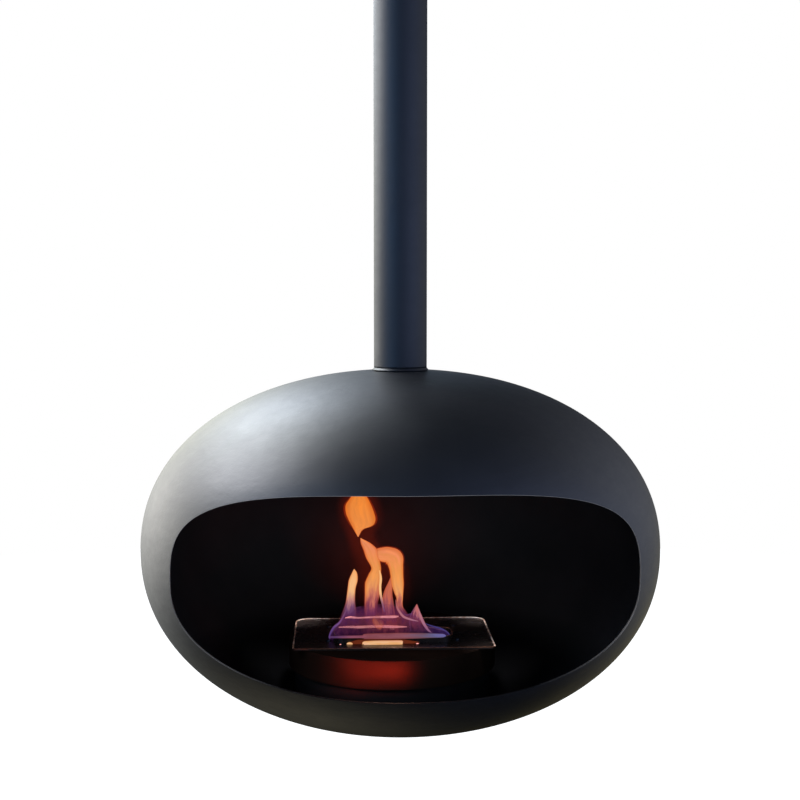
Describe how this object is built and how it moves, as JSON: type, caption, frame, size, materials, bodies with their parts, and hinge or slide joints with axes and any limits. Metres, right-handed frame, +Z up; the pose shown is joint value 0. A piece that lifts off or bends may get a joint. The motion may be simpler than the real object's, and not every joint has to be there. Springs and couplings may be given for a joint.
{
  "type": "hanging ethanol fire",
  "caption": "Ceiling-hung ethanol fire: squashed round steel shell with a wide mouth, turning on a pole, with a burner on a drum inside and a sliding damper over the flame slot.",
  "frame": {"origin": "centre of the ceiling plate's upper face, where the object meets the ceiling", "axes": "+Z up along the pole; the mouth of the shell faces -Y; +X is to the right seen from the front"},
  "size_m": [0.62, 0.5899, 1.4363],
  "materials": {
    "shell_paint": "satin black powder coat, faintly blue in the light",
    "pole_paint": "satin black powder coat",
    "rose_paint": "satin black powder coat",
    "inner_paint": "matt heat-proof black paint",
    "plate_steel": "plain hot-rolled steel",
    "machined_steel": "turned and ground steel",
    "screw_steel": "blackened steel",
    "bronze": "plain bronze",
    "burner_steel": "brushed stainless steel, heat-tinted at the flame",
    "ceramic_wool": "white ceramic fibre"
  },
  "bodies": {
    "hanger": {"ceiling_plate": "plate_steel", "head_spigot": "plate_steel", "head_screws": "screw_steel", "pole": "pole_paint", "pole_foot": "plate_steel", "swivel_bush": "bronze", "bearing_lower_race": "machined_steel"},
    "rose": {"ceiling_rose": "rose_paint", "rose_screw": "screw_steel"},
    "ball_set": {"bearing_balls": "machined_steel", "bearing_cage": "bronze"},
    "fire_body": {"bearing_upper_race": "machined_steel", "top_washer": "machined_steel", "top_nut": "machined_steel", "split_pin": "machined_steel", "spindle": "machined_steel", "collar": "shell_paint", "collar_screws": "screw_steel", "hanger_plate": "plate_steel", "clamp_washer": "machined_steel", "clamp_nut": "machined_steel", "upper_shell": "shell_paint", "lower_shell": "shell_paint", "plinth_ring": "inner_paint", "burner_drum": "inner_paint"},
    "burner": {"burner_top": "burner_steel", "burner_tank": "burner_steel", "wool_block": "ceramic_wool", "wool_grid": "burner_steel", "damper_rails": "burner_steel", "rail_screws": "screw_steel"},
    "damper": {"damper_plate": "burner_steel", "damper_knob": "screw_steel"}
  },
  "joints": [
    {"name": "shell_swivel", "type": "hinge", "parent": "hanger", "child": "fire_body", "pos_m": [0, 0, -0.971], "axis": [0, 0, 1], "continuous": true},
    {"name": "cage_roll", "type": "hinge", "parent": "hanger", "child": "ball_set", "pos_m": [0, 0, -0.971], "axis": [0, 0, 1], "continuous": true},
    {"name": "rose_slide", "type": "slide", "parent": "hanger", "child": "rose", "axis": [0, 0, 1], "range_m": [-0.25, 0]},
    {"name": "burner_lift", "type": "slide", "parent": "fire_body", "child": "burner", "axis": [0, 0, 1], "range_m": [0, 0.06]},
    {"name": "damper_slide", "type": "slide", "parent": "burner", "child": "damper", "axis": [0, 1, 0], "range_m": [-0.035, 0]}
  ],
  "couplings": [
    {"joint": "cage_roll", "follows": "shell_swivel", "ratio": 0.5}
  ]
}
